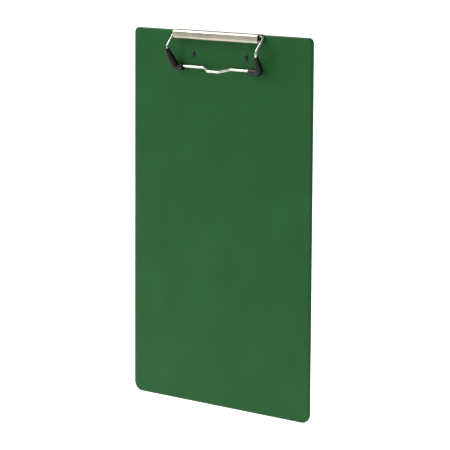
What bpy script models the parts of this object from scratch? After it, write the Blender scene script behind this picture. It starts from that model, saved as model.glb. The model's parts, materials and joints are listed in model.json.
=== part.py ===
"""Clipboard with a sprung wire bail, standing upright as it hangs or is held.

Units are metres. +Z runs up the board to the clip, -Y is out of the writing face and +X is to the right
of someone who looks at that face. The origin is the middle of the board's back face.
"""

import math

import bmesh
import bpy
from mathutils import Matrix, Vector

# Board
BOARD_WIDTH = 0.220
BOARD_HEIGHT = 0.340
BOARD_THICKNESS = 0.0032
TOP_CORNER_RADIUS = 0.005
BOTTOM_CORNER_RADIUS = 0.009
EDGE_ROUNDING = 0.0012
FOIL_THICKNESS = 0.00035
RIM_WIDTH = 0.0010
GAP = 0.0003
CUTTER_OVERRUN = 0.010

# The clip and all its pieces sit this far from the board's middle line
CLIP_X = -0.0015

# Hinge channel, a sheet that wraps the board's top edge and rolls into a tube in front of it
CHANNEL_LENGTH = 0.1046
SHEET_THICKNESS = 0.0008
CHANNEL_TOP = 0.0007
CHANNEL_DEPTH = 0.0066
CHANNEL_DROP = 0.0077
CHANNEL_ROLL_RADIUS = 0.0022
CHANNEL_LIP_RADIUS = 0.0012
CHANNEL_LIP_TOP = -0.0054
REAR_LEG_LENGTH = 0.0265
REAR_LEG_CORNER = 0.005
REAR_LEG_SINK = 0.0001
REAR_BEND_RADIUS = 0.0010

# Rivets
RIVET_SPACING = 0.065
RIVET_DROP = 0.0213
RIVET_SHANK_RADIUS = 0.0013
RIVET_HEAD_RADIUS = 0.0026
RIVET_HEAD_HEIGHT = 0.0009
RIVET_TAIL_RADIUS = 0.0023
RIVET_TAIL_HEIGHT = 0.0007
RIVET_TAIL_BORE = 0.0006

# Wire bail: depths are out of the writing face, drops are down from the board's top edge
WIRE_RADIUS = 0.00115
PIVOT_DEPTH = 0.0027
PIVOT_DROP = 0.0015
PIVOT_LENGTH = 0.0065
LEG_SPACING = 0.1106
SHOULDER_RADIUS = 0.0016
KNEE_DEPTH = 0.0028
KNEE_DROP = 0.0043
KNEE_RADIUS = 0.0025
LEG_APEX_SPACING = 0.1102
LEG_APEX_DEPTH = 0.0120
LEG_APEX_DROP = 0.0160
LEG_APEX_RADIUS = 0.0065
BAR_SPACING = 0.1044
BAR_DEPTH = 0.0026
BAR_DROP = 0.0324
BAR_CORNER_RADIUS = 0.0036
KINK_BASE = 0.0329
KINK_FLAT = 0.013
KINK_DEPTH = 0.0082
KINK_DROP = 0.0350
KINK_RADIUS = 0.0026

# Held ends of the wire: each runs on through the channel from its leg's pivot to a tip at the far end.
# One passes low at the back, the other high in front, so that they cross without touching. A route's
# points are (distance from the clip's middle, depth, drop).
TIP_REACH = 0.0013
TIP_DEPTH = 0.0042
TIP_DROP = 0.00545
LOW_CROSSING = ((0, 0.0016, 0.0034), (0.012, 0.0018, 0.0041))
HIGH_CROSSING = ((0.012, 0.0039, 0.0021), (0, 0.0043, 0.0034))
CROSSING_RADIUS = 0.060

# Corner caps, soft sleeves pushed over the bail's two lower corners. The left one sits further up its leg
# than the right one, and so ends sooner on the bar.
CAP_TOP_DROP = {"left": 0.0166, "right": 0.0190}
CAP_BAR_LENGTH = {"left": 0.0100, "right": 0.0127}
CAP_TAPER = 0.009
CAP_TOP_RADIUS = 0.00195
CAP_CORNER_RADIUS = 0.0033
CAP_BAR_RADIUS = 0.0029
CAP_SAG = 0.0008

TOP = BOARD_HEIGHT / 2
FRONT = -BOARD_THICKNESS
PIVOT = Vector((CLIP_X, FRONT - PIVOT_DEPTH, TOP - PIVOT_DROP))
STAND_UP = Matrix.Rotation(math.radians(90), 4, "X")


def clear_scene():
    for obj in list(bpy.data.objects):
        bpy.data.objects.remove(obj, do_unlink=True)


def new_collection(name):
    collection = bpy.data.collections.new(name)
    bpy.context.scene.collection.children.link(collection)
    return collection


def material(name, colour, roughness, metallic=0.0):
    mat = bpy.data.materials.new(name)
    mat.use_nodes = True
    shader = mat.node_tree.nodes["Principled BSDF"]
    shader.inputs["Base Color"].default_value = (*colour, 1)
    shader.inputs["Roughness"].default_value = roughness
    shader.inputs["Metallic"].default_value = metallic
    mat.diffuse_color = (*colour, 1)
    return mat


def put(collection, obj, mat=None):
    """Link obj to its own collection and give it its material."""
    for other in obj.users_collection:
        other.objects.unlink(obj)
    collection.objects.link(obj)
    if mat:
        obj.data.materials.clear()
        obj.data.materials.append(mat)
    return obj


def smooth(obj, angle=35):
    obj.data.shade_smooth()
    obj.data.set_sharp_from_angle(angle=math.radians(angle))


def mesh_object(name, bm, collection, mat=None):
    mesh = bpy.data.meshes.new(name)
    bm.to_mesh(mesh)
    bm.free()
    return put(collection, bpy.data.objects.new(name, mesh), mat)


def curve_to_mesh(obj, collection, mat=None):
    """Replace a curve by a closed mesh object with the same name and place."""
    depsgraph = bpy.context.evaluated_depsgraph_get()
    mesh = bpy.data.meshes.new_from_object(obj.evaluated_get(depsgraph))
    bm = bmesh.new()
    bm.from_mesh(mesh)
    bmesh.ops.remove_doubles(bm, verts=bm.verts, dist=1e-7)
    bmesh.ops.recalc_face_normals(bm, faces=bm.faces)
    bm.to_mesh(mesh)
    bm.free()
    name = obj.name
    place = obj.matrix_world.copy()
    bpy.data.objects.remove(obj, do_unlink=True)
    solid = put(collection, bpy.data.objects.new(name, mesh), mat)
    solid.matrix_world = place
    return solid


def cut(obj, cutter, operation="DIFFERENCE"):
    mod = obj.modifiers.new(operation.title(), "BOOLEAN")
    mod.operation = operation
    mod.object = cutter
    mod.solver = "EXACT"


def as_cutter(obj):
    obj.hide_render = True
    obj.display_type = "WIRE"
    return put(cutters, obj)


def box(name, low, high):
    """A cutter that fills the space between two corners."""
    bm = bmesh.new()
    bmesh.ops.create_cube(bm, size=1)
    size = Vector(high) - Vector(low)
    middle = (Vector(high) + Vector(low)) / 2
    bmesh.ops.scale(bm, vec=size, verts=bm.verts)
    bmesh.ops.translate(bm, vec=middle, verts=bm.verts)
    return as_cutter(mesh_object(name, bm, cutters))


def rod(name, radius, x, z):
    """A round cutter that runs right through the board along Y."""
    bm = bmesh.new()
    bmesh.ops.create_cone(
        bm, cap_ends=True, segments=32, radius1=radius, radius2=radius, depth=4 * CUTTER_OVERRUN
    )
    bmesh.ops.transform(bm, matrix=Matrix.Translation((x, 0, z)) @ STAND_UP, verts=bm.verts)
    return as_cutter(mesh_object(name, bm, cutters))


def filleted(points, radii, step=math.radians(15)):
    """A run of straight lines whose corners are arcs of the given radii, one for each inner point."""
    points = [Vector(p) for p in points]
    path = [points[0]]
    for before, corner, after, radius in zip(points, points[1:], points[2:], radii):
        come = (corner - before).normalized()
        go = (after - corner).normalized()
        turn = come.angle(go)
        tangent = radius * math.tan(turn / 2)
        across = (go - come).normalized()
        centre = corner + across * (radius / math.cos(turn / 2))
        start = corner - come * tangent - centre
        axis = come.cross(go)
        count = max(2, math.ceil(turn / step))
        path += [centre + Matrix.Rotation(turn * i / count, 3, axis) @ start for i in range(count + 1)]
    return path + [points[-1]]


def board_outline(inset):
    """The board's outline in its own plane, drawn in by inset, anticlockwise from the top right corner."""
    half = Vector((BOARD_WIDTH / 2 - inset, BOARD_HEIGHT / 2 - inset))
    corners = (
        (1, 1, TOP_CORNER_RADIUS),
        (-1, 1, TOP_CORNER_RADIUS),
        (-1, -1, BOTTOM_CORNER_RADIUS),
        (1, -1, BOTTOM_CORNER_RADIUS),
    )
    steps = 8
    outline = []
    for turn, (sx, sy, radius) in enumerate(corners):
        r = radius - inset
        for i in range(steps + 1):
            angle = math.pi / 2 * (turn + i / steps)
            x = sx * (half.x - r) + r * math.cos(angle)
            y = sy * (half.y - r) + r * math.sin(angle)
            outline.append((x, y))
    return outline


def slab(name, inset, front, back, collection, mat=None):
    """The board's outline drawn in by inset, solid from front to back along Y."""
    curve = bpy.data.curves.new(name, "CURVE")
    curve.dimensions = "2D"
    curve.fill_mode = "BOTH"
    curve.extrude = (back - front) / 2
    outline = board_outline(inset)
    spline = curve.splines.new("POLY")
    spline.points.add(len(outline) - 1)
    for point, (x, y) in zip(spline.points, outline):
        point.co = (x, y, 0, 1)
    spline.use_cyclic_u = True
    obj = bpy.data.objects.new(name, curve)
    put(collection, obj)
    obj.rotation_euler.x = math.radians(90)
    obj.location.y = (front + back) / 2
    bpy.context.view_layer.update()
    return curve_to_mesh(obj, collection, mat)


def tube(name, path, radius, collection, mat=None, scales=None):
    """A round bar along path, with filled ends; scales widens it from point to point."""
    curve = bpy.data.curves.new(name, "CURVE")
    curve.dimensions = "3D"
    curve.bevel_depth = radius
    curve.bevel_resolution = 4
    curve.use_fill_caps = True
    spline = curve.splines.new("POLY")
    spline.points.add(len(path) - 1)
    for i, (point, place) in enumerate(zip(spline.points, path)):
        point.co = (*place, 1)
        point.radius = scales[i] if scales else 1
    obj = bpy.data.objects.new(name, curve)
    put(collection, obj)
    bpy.context.view_layer.update()
    return curve_to_mesh(obj, collection, mat)


def clip_cutters():
    """What the hinge channel and its rivets take out of the board and its covers."""
    left = CLIP_X - CHANNEL_LENGTH / 2 - GAP
    right = CLIP_X + CHANNEL_LENGTH / 2 + GAP
    rebate = REAR_LEG_SINK + SHEET_THICKNESS + GAP
    leg_foot = TOP - REAR_LEG_LENGTH - GAP
    top_notch = TOP + CHANNEL_TOP - SHEET_THICKNESS - GAP
    beyond = TOP + CUTTER_OVERRUN
    found = [
        box("rear_leg_rebate", (left, -rebate, leg_foot), (right, CUTTER_OVERRUN, beyond)),
        box("top_edge_notch", (left, -CUTTER_OVERRUN, top_notch), (right, CUTTER_OVERRUN, beyond)),
    ]
    for side, sign in SIDES.items():
        x = CLIP_X + sign * RIVET_SPACING / 2
        found.append(rod(f"rivet_hole_{side}", RIVET_SHANK_RADIUS + GAP, x, TOP - RIVET_DROP))
    return found


def cover(name, cavity, keep, mat):
    """One of the two foils: the rounded board's skin on one side of the weld line."""
    skin = slab(name, 0, FRONT, 0, parts, mat)
    bevel = skin.modifiers.new("Rounded edge", "BEVEL")
    bevel.width = EDGE_ROUNDING
    bevel.segments = 4
    bevel.limit_method = "ANGLE"
    bevel.angle_limit = math.radians(60)
    cut(skin, keep, "INTERSECT")
    cut(skin, cavity)
    for cutter in board_cuts:
        cut(skin, cutter)
    smooth(skin)


def board():
    """Fibreboard core between two foils that are welded together round the rim."""
    green = material("green_vinyl", (0.035, 0.12, 0.045), 0.42)
    back_green = material("green_vinyl_back", (0.035, 0.12, 0.045), 0.48)
    grey = material("grey_fibreboard", (0.30, 0.27, 0.22), 0.9)
    cavity = as_cutter(slab("core_space", RIM_WIDTH, FRONT + FOIL_THICKNESS, -FOIL_THICKNESS, cutters))
    weld = FRONT / 2
    reach = BOARD_HEIGHT
    front_half = box("front_half", (-reach, FRONT - CUTTER_OVERRUN, -reach), (reach, weld - GAP / 2, reach))
    back_half = box("back_half", (-reach, weld + GAP / 2, -reach), (reach, CUTTER_OVERRUN, reach))
    cover("front_cover", cavity, front_half, green)
    cover("back_cover", cavity, back_half, back_green)
    inner = FOIL_THICKNESS + GAP
    core = slab("board_core", RIM_WIDTH + GAP, FRONT + inner, -inner, parts, grey)
    for cutter in board_cuts:
        cut(core, cutter)


def channel_section():
    """Middle line of the channel's sheet in the Y-Z plane, from the rear leg's foot to the inner lip."""
    half = SHEET_THICKNESS / 2
    rear = -REAR_LEG_SINK - half
    top = TOP + CHANNEL_TOP - half
    face = FRONT - CHANNEL_DEPTH + half
    floor = TOP - CHANNEL_DROP + half
    lip = FRONT - GAP - half
    corners = [
        (0, rear, TOP - REAR_LEG_LENGTH),
        (0, rear, top),
        (0, face, top),
        (0, face, floor),
        (0, lip, floor),
        (0, lip, TOP + CHANNEL_LIP_TOP),
    ]
    radii = [REAR_BEND_RADIUS, CHANNEL_ROLL_RADIUS, CHANNEL_ROLL_RADIUS, CHANNEL_LIP_RADIUS]
    return filleted(corners, radii)


def hinge_channel():
    """Nickel-plated sheet: rear leg, wrap over the top edge, and a rolled tube open at both ends."""
    bm = bmesh.new()
    line = [bm.verts.new(point) for point in channel_section()]
    edges = [bm.edges.new(pair) for pair in zip(line, line[1:])]
    bmesh.ops.translate(bm, vec=(CLIP_X - CHANNEL_LENGTH / 2, 0, 0), verts=bm.verts)
    far = bmesh.ops.extrude_edge_only(bm, edges=edges)["geom"]
    far_verts = [item for item in far if isinstance(item, bmesh.types.BMVert)]
    bmesh.ops.translate(bm, vec=(CHANNEL_LENGTH, 0, 0), verts=far_verts)
    foot = TOP - REAR_LEG_LENGTH
    foot_corners = [v for v in bm.verts if abs(v.co.z - foot) < 1e-6]
    bmesh.ops.bevel(
        bm, geom=foot_corners, offset=REAR_LEG_CORNER, segments=6, profile=0.5, affect="VERTICES"
    )
    bmesh.ops.recalc_face_normals(bm, faces=bm.faces)
    nickel = material("nickel_plated_sheet", (0.66, 0.62, 0.56), 0.3, 1)
    sheet = mesh_object("hinge_channel", bm, parts, nickel)
    wall = sheet.modifiers.new("Sheet", "SOLIDIFY")
    wall.thickness = SHEET_THICKNESS
    wall.offset = 0
    wall.use_even_offset = True
    for name in ("rivet_hole_left", "rivet_hole_right"):
        cut(sheet, bpy.data.objects[name])
    smooth(sheet)


def rivet_profile():
    """Half outline of a rivet, from the middle of its head to the hollow in its rolled tail."""
    head_under = BOARD_THICKNESS + GAP
    tail_start = GAP - REAR_LEG_SINK
    dome = [
        (
            RIVET_HEAD_RADIUS * math.sin(math.pi / 2 * i / 6),
            head_under + RIVET_HEAD_HEIGHT * math.cos(math.pi / 2 * i / 6),
        )
        for i in range(7)
    ]
    tail_middle = (RIVET_TAIL_RADIUS + RIVET_TAIL_BORE) / 2
    tail_half = (RIVET_TAIL_RADIUS - RIVET_TAIL_BORE) / 2
    roll = [
        (
            tail_middle + tail_half * math.cos(math.pi * i / 6),
            -tail_start - RIVET_TAIL_HEIGHT * math.sin(math.pi * i / 6),
        )
        for i in range(7)
    ]
    hollow = [(0, -tail_start)]
    return dome + [(RIVET_SHANK_RADIUS, head_under), (RIVET_SHANK_RADIUS, -tail_start)] + roll + hollow


def rivet(name, x, mat):
    bm = bmesh.new()
    line = [bm.verts.new((r, 0, height)) for r, height in rivet_profile()]
    for pair in zip(line, line[1:]):
        bm.edges.new(pair)
    obj = mesh_object(name, bm, parts, mat)
    turn = obj.modifiers.new("Turned", "SCREW")
    turn.steps = 32
    turn.render_steps = 32
    turn.use_merge_vertices = True
    turn.merge_threshold = 0.00001
    turn.use_smooth_shade = True
    obj.location = (x, 0, TOP - RIVET_DROP)
    obj.rotation_euler.x = math.radians(90)


def rivets():
    lacquer = material("green_lacquered_steel", (0.02, 0.08, 0.03), 0.35)
    for side, sign in SIDES.items():
        rivet(f"rivet_{side}", CLIP_X + sign * RIVET_SPACING / 2, lacquer)


def clip_point(x, depth, drop):
    """A place given by its distance from the clip's middle, out of the face and down from the top edge."""
    return Vector((CLIP_X + x, FRONT - depth, TOP - drop))


def bail_half():
    """Corners and bend radii of the bail's left half, from its pivot's end to the middle of the kink."""
    leg = -LEG_SPACING / 2
    corners = [
        clip_point(-CHANNEL_LENGTH / 2 + PIVOT_LENGTH, PIVOT_DEPTH, PIVOT_DROP),
        clip_point(leg, PIVOT_DEPTH, PIVOT_DROP),
        clip_point(leg, KNEE_DEPTH, KNEE_DROP),
        clip_point(-LEG_APEX_SPACING / 2, LEG_APEX_DEPTH, LEG_APEX_DROP),
        clip_point(-BAR_SPACING / 2, BAR_DEPTH, BAR_DROP),
        clip_point(-KINK_BASE / 2, BAR_DEPTH, BAR_DROP),
        clip_point(-KINK_FLAT / 2, KINK_DEPTH, KINK_DROP),
    ]
    radii = [
        SHOULDER_RADIUS,
        KNEE_RADIUS,
        LEG_APEX_RADIUS,
        BAR_CORNER_RADIUS,
        KINK_RADIUS,
        KINK_RADIUS,
    ]
    return corners, radii


def mirrored(points):
    """The same points on the other side of the clip's middle, in the opposite order."""
    return [Vector((2 * CLIP_X - p.x, p.y, p.z)) for p in reversed(points)]


def bail_route():
    corners, radii = bail_half()
    return filleted(corners + mirrored(corners), radii + radii[::-1])


def held_end(name, side, crossing, mat):
    """The stretch of wire beyond a pivot, held still by the channel, up to its tip at the far end."""
    start = SIDES[side] * (CHANNEL_LENGTH / 2 - PIVOT_LENGTH - GAP)
    tip = -SIDES[side] * (CHANNEL_LENGTH / 2 + TIP_REACH)
    corners = [
        clip_point(start, PIVOT_DEPTH, PIVOT_DROP),
        *(clip_point(*place) for place in crossing),
        clip_point(tip, TIP_DEPTH, TIP_DROP),
    ]
    path = filleted(corners, [CROSSING_RADIUS] * 2, math.radians(2))
    smooth(tube(name, path, WIRE_RADIUS, parts, mat), 50)


def wire_bail(pivot, mat):
    """The legs and bar of the bent spring wire, with a short pivot at each end inside the channel."""
    route = [point - PIVOT for point in bail_route()]
    wire = tube("wire_bail", route, WIRE_RADIUS, parts, mat)
    wire.parent = pivot
    smooth(wire, 50)


def cap_route(side):
    """The stretch of the bail's left half that a corner cap covers, as points with the cap's radius."""
    corners, radii = bail_half()
    line = filleted(corners, radii, math.radians(9))
    apex = min(range(len(line)), key=lambda i: line[i].y)
    top = TOP - CAP_TOP_DROP[side]
    end = corners[4].x + CAP_BAR_LENGTH[side]
    inside = [point for point in line[apex:] if point.z < top - GAP and point.x < end - GAP]
    above = line[line.index(inside[0]) - 1]
    first = above.lerp(inside[0], (above.z - top) / (above.z - inside[0].z))
    last = Vector((end, inside[-1].y, inside[-1].z))
    path = [first, *inside, *(inside[-1].lerp(last, i / 3) for i in (1, 2, 3))]
    swell = CAP_CORNER_RADIUS - CAP_TOP_RADIUS
    widths = [CAP_TOP_RADIUS + swell * min(1, (top - point.z) / CAP_TAPER) for point in path[:-3]]
    return path, widths + [CAP_BAR_RADIUS] * 3


def corner_cap(side, pivot, mat):
    """A moulded elbow sleeve, thicker below the wire, with a bore and a flat foot towards the board."""
    path, radii = cap_route(side)
    if side == "right":
        path = mirrored(path)
        radii = radii[::-1]
    top = TOP - CAP_TOP_DROP[side]
    sags = [CAP_SAG * min(1, (top - point.z) / CAP_TAPER) for point in path]
    middle = [point - PIVOT - Vector((0, 0, sag)) for point, sag in zip(path, sags)]
    scales = [radius / CAP_CORNER_RADIUS for radius in radii]
    cap = tube(f"corner_cap_{side}", middle, CAP_CORNER_RADIUS, parts, mat, scales)
    cap.parent = pivot
    overrun = 0.002
    first = path[0] + (path[0] - path[1]).normalized() * overrun
    last = path[-1] + (path[-1] - path[-2]).normalized() * overrun
    bore = tube(f"cap_bore_{side}", [first, *path[1:-1], last], WIRE_RADIUS + GAP, cutters)
    cut(cap, as_cutter(bore))
    cut(cap, bpy.data.objects["cap_foot"])
    smooth(cap, 40)


def bail():
    pivot = bpy.data.objects.new("bail_pivot", None)
    pivot.location = PIVOT
    parts.objects.link(pivot)
    bpy.context.view_layer.update()
    steel = material("bright_spring_wire", (0.80, 0.80, 0.78), 0.2, 1)
    wire_bail(pivot, steel)
    held_end("held_end_from_left", "left", LOW_CROSSING, steel)
    held_end("held_end_from_right", "right", HIGH_CROSSING, steel)
    black = material("black_soft_vinyl", (0.012, 0.012, 0.013), 0.4)
    reach = BOARD_WIDTH
    box("cap_foot", (-reach, FRONT - GAP, -reach), (reach, CUTTER_OVERRUN, reach))
    for side in SIDES:
        corner_cap(side, pivot, black)


SIDES = {"left": -1, "right": 1}

clear_scene()
parts = new_collection("clipboard")
cutters = new_collection("cutters")
board_cuts = clip_cutters()
board()
hinge_channel()
rivets()
bail()
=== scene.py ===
"""Looks of a vinyl-covered clipboard with a sprung wire bail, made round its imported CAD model.

Lengths are metres in the model's frame: +Z up the board to the clip, -Y out of the writing face, +X to
the right of someone who looks at that face, and the origin in the middle of the board's back face.
"""

import json
import logging
import math
from dataclasses import dataclass
from enum import Enum
from typing import ClassVar

import bpy
import numpy as np
from mathutils import Matrix, Vector


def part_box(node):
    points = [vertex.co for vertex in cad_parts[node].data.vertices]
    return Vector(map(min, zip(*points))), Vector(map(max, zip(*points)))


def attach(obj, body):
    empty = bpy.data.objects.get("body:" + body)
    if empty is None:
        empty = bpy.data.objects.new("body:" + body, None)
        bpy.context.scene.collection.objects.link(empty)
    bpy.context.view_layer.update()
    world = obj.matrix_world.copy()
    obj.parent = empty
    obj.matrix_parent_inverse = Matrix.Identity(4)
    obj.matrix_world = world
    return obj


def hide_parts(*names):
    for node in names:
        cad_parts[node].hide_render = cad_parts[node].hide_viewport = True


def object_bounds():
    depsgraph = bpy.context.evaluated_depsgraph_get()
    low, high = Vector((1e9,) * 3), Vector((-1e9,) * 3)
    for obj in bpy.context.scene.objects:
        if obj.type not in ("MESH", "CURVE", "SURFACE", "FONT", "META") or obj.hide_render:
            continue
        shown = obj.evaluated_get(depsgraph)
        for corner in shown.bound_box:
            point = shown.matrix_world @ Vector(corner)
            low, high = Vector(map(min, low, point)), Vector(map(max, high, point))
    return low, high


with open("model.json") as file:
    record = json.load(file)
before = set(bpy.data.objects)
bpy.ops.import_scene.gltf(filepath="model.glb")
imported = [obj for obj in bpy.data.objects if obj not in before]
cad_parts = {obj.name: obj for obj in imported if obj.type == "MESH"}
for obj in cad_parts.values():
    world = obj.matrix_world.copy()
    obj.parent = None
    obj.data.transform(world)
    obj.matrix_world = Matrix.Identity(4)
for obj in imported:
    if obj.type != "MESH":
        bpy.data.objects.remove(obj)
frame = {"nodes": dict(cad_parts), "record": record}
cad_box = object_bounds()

LOG = logging.getLogger("clipboard")
MM = 0.001
CLEARANCE = 0.1 * MM
# The gap that the model keeps between touching pieces
GAP = 0.3 * MM
# How far a cutter runs past what it cuts
OVERRUN = 10 * MM
# Points closer than these are merged, along a wire's route and across a sheet's grid
ROUTE_GAP = 0.02 * MM
GRID_GAP = 0.004 * MM


class Body(Enum):
    """The two rigid bodies of the model."""

    BOARD = "board"
    BAIL = "bail"


class Slot(Enum):
    """The record's material slots, passed along with the new pieces."""

    VINYL = "green_vinyl"
    NICKEL = "nickel_sheet"
    WIRE = "bright_wire"
    LACQUER = "green_lacquer"
    CAP = "black_vinyl"


class Side(Enum):
    """Left and right of the writing face, with the sign of X."""

    LEFT = -1
    RIGHT = 1


# ---------------------------------------------------------------- surfaces on grids


def lines(
    low: float, high: float, step: float, spots: tuple[float, ...], reach: float, fine: float
) -> np.ndarray:
    """Grid lines from low to high, evenly spaced and closer together near some spots.

    Args:
        low: first line.
        high: last line.
        step: widest spacing.
        spots: places near which the lines are closer.
        reach: how far from a spot they stay close.
        fine: spacing there.

    Returns:
        The lines' places in rising order.
    """
    sets = [np.linspace(low, high, max(2, round((high - low) / step) + 1))]
    sets += [np.arange(spot - reach, spot + reach + fine / 2, fine) for spot in spots]
    merged = np.unique(np.clip(np.concatenate(sets), low, high))
    keep = np.concatenate([[True], np.diff(merged) > fine * 0.3])
    keep[-1] = True
    return merged[keep]


def spread(values: np.ndarray, gap: float) -> np.ndarray:
    """The values in rising order, without those that are within a gap of their predecessor."""
    rising = np.unique(values)
    return rising[np.concatenate([[True], np.diff(rising) > gap])]


def grid_quads(rows: int, columns: int, around: bool = False) -> np.ndarray:
    """Faces of a grid of points, each joining four neighbours.

    Args:
        rows: number of rows.
        columns: number of points in a row.
        around: whether a row's last point joins its first.

    Returns:
        An array of four point numbers a face.
    """
    span = columns if around else columns - 1
    i, j = np.meshgrid(np.arange(rows - 1), np.arange(span), indexing="ij")
    k = (j + 1) % columns
    corners = (i * columns + j, (i + 1) * columns + j, (i + 1) * columns + k, i * columns + k)
    return np.stack(corners, -1).reshape(-1, 4)


def fan(pole: int, ring: np.ndarray) -> np.ndarray:
    """Triangles from one pole to each edge of a closed ring of points."""
    return np.stack([np.full(len(ring), pole), ring, np.roll(ring, -1)], -1)


def tube_faces(rows: int, sides: int) -> list[np.ndarray]:
    """Faces over rings of points and two poles, whose numbers follow the rings'.

    Args:
        rows: number of rings.
        sides: points in a ring.

    Returns:
        Arrays of faces: between the rings, at the first pole and at the last.
    """
    first = np.arange(sides)
    last = first + (rows - 1) * sides
    return [grid_quads(rows, sides, True), fan(rows * sides, first), fan(rows * sides + 1, last[::-1])]


def enclosed(points: np.ndarray, groups: list[np.ndarray]) -> float:
    """Volume inside closed faces: a sixth of the sum of a . (b x c) over their triangles.

    Args:
        points: places of the points, one a row.
        groups: arrays of faces.

    Returns:
        The volume, below 0 where the faces are turned inwards.
    """
    total = 0.0
    for group in groups:
        a = points[group[:, 0]]
        for k in range(1, group.shape[1] - 1):
            b, c = points[group[:, k]], points[group[:, k + 1]]
            total += float(np.einsum("ij,ij->", a, np.cross(b, c))) / 6
    return total


def make_mesh(
    name: str,
    points: np.ndarray,
    groups: list[np.ndarray],
    finish: bpy.types.Material | None = None,
    attributes: dict[str, np.ndarray] | None = None,
    crease: float = 40.0,
) -> bpy.types.Object:
    """Put a closed surface into a new object, with its faces turned outwards.

    Args:
        name: the object's name.
        points: places of the points, one a row.
        groups: arrays of faces, three or four point numbers a face.
        finish: its material, or None for a cutter.
        attributes: values at the points that the material reads.
        crease: angle in degrees above which an edge stays sharp.

    Returns:
        The object, linked to the scene.
    """
    if enclosed(points, groups) < 0:
        groups = [group[:, ::-1] for group in groups]
    mesh = bpy.data.meshes.new(name)
    mesh.from_pydata(points.tolist(), [], [face for group in groups for face in group.tolist()])
    for key, values in (attributes or {}).items():
        layer = mesh.attributes.new(key, "FLOAT", "POINT")
        layer.data.foreach_set("value", np.asarray(values, np.float32))
    mesh.shade_smooth()
    mesh.set_sharp_from_angle(angle=math.radians(crease))
    if finish:
        mesh.materials.append(finish)
    obj = bpy.data.objects.new(name, mesh)
    bpy.context.scene.collection.objects.link(obj)
    return obj


def rounded_route(corners: np.ndarray, radii: list[float], turn_step: float, step: float) -> np.ndarray:
    """Points along straight runs whose corners are arcs that touch both runs.

    At a corner with turning angle a, the arc of radius r starts r tan(a/2) before it, and its points are
    centre + r (cos t p + sin t q), where p and q are the unit directions at its start.

    Args:
        corners: places of the ends and corners, one a row.
        radii: bend radius at each inner corner.
        turn_step: largest turn between two points of an arc, in radians.
        step: largest distance between two points of a straight run.

    Returns:
        The route's points, one a row.
    """
    pieces = [corners[:1]]
    for before, corner, after, radius in zip(corners, corners[1:], corners[2:], radii):
        come = (corner - before) / np.linalg.norm(corner - before)
        go = (after - corner) / np.linalg.norm(after - corner)
        turn = math.acos(float(np.clip(come @ go, -1, 1)))
        start = corner - come * radius * math.tan(turn / 2)
        inward = go - come * (go @ come)
        inward = inward / np.linalg.norm(inward)
        angle = np.linspace(0, turn, max(2, math.ceil(turn / turn_step)) + 1)[:, None]
        pieces.append(start + radius * (inward * (1 - np.cos(angle)) + come * np.sin(angle)))
    pieces.append(corners[-1:])
    route = np.concatenate(pieces)
    along = lengths(route)
    return at_lengths(route, spread(np.concatenate([along, np.arange(0, along[-1], step)]), ROUTE_GAP))


def lengths(route: np.ndarray) -> np.ndarray:
    """Distance along a route at each of its points."""
    return np.concatenate([[0.0], np.cumsum(np.linalg.norm(np.diff(route, axis=0), axis=1))])


def at_lengths(route: np.ndarray, wanted: np.ndarray) -> np.ndarray:
    """Places on a route at the wanted distances from its start."""
    along = lengths(route)
    return np.stack([np.interp(wanted, along, route[:, k]) for k in range(route.shape[1])], -1)


def frames(route: np.ndarray) -> tuple[np.ndarray, np.ndarray]:
    """Two unit directions square to a route.

    The first is the world's Y with its part along the route taken out, and the second is the cross
    product of the route's own direction and the first.

    Args:
        route: points, none of which may lead along Y.

    Returns:
        Two arrays of directions, one a point.
    """
    ahead = np.gradient(route, lengths(route), axis=0)
    ahead /= np.linalg.norm(ahead, axis=1, keepdims=True)
    across = np.array([0.0, 1.0, 0.0]) - ahead * ahead[:, 1:2]
    across /= np.linalg.norm(across, axis=1, keepdims=True)
    return across, np.cross(ahead, across)


def wire_along(
    name: str, route: np.ndarray, radius: float, finish: bpy.types.Material, sides: int = 32
) -> bpy.types.Object:
    """A round wire with cut ends whose rims are broken.

    Point (i, j) is route(i) + r(i) (cos t(j) across(i) + sin t(j) up(i)). r is the wire's radius, less at
    the first and last points, where it follows a small quarter circle to a flat end with a pole.

    Args:
        name: the object's name.
        route: points of its middle line.
        radius: its radius.
        finish: its material.
        sides: points round it.

    Returns:
        The object.
    """
    rim = 0.25 * radius
    angle = np.linspace(0, math.pi / 2, 5)
    inset = rim * (1 - np.sin(angle))
    drop = rim * (1 - np.cos(angle))
    inner = lengths(route)
    total = inner[-1]
    inner = inner[(inner > rim * 1.2) & (inner < total - rim * 1.2)]
    along = np.concatenate([drop, inner, total - drop[::-1]])
    width = np.concatenate([radius - inset, np.full(len(inner), radius), radius - inset[::-1]])
    middle = at_lengths(route, along)
    across, up = frames(middle)
    turn = np.arange(sides) * 2 * math.pi / sides
    ring = np.cos(turn)[None, :, None] * across[:, None] + np.sin(turn)[None, :, None] * up[:, None]
    points = (middle[:, None] + width[:, None, None] * ring).reshape(-1, 3)
    rows = len(along)
    points = np.concatenate([points, middle[:1], middle[-1:]])
    attributes = {
        "along": np.concatenate([np.repeat(along, sides), along[:1], along[-1:]]),
        "round": np.concatenate([np.tile(np.cos(turn), rows), [1.0, 1.0]]),
    }
    return make_mesh(name, points, tube_faces(rows, sides), finish, attributes, crease=50)


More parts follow.
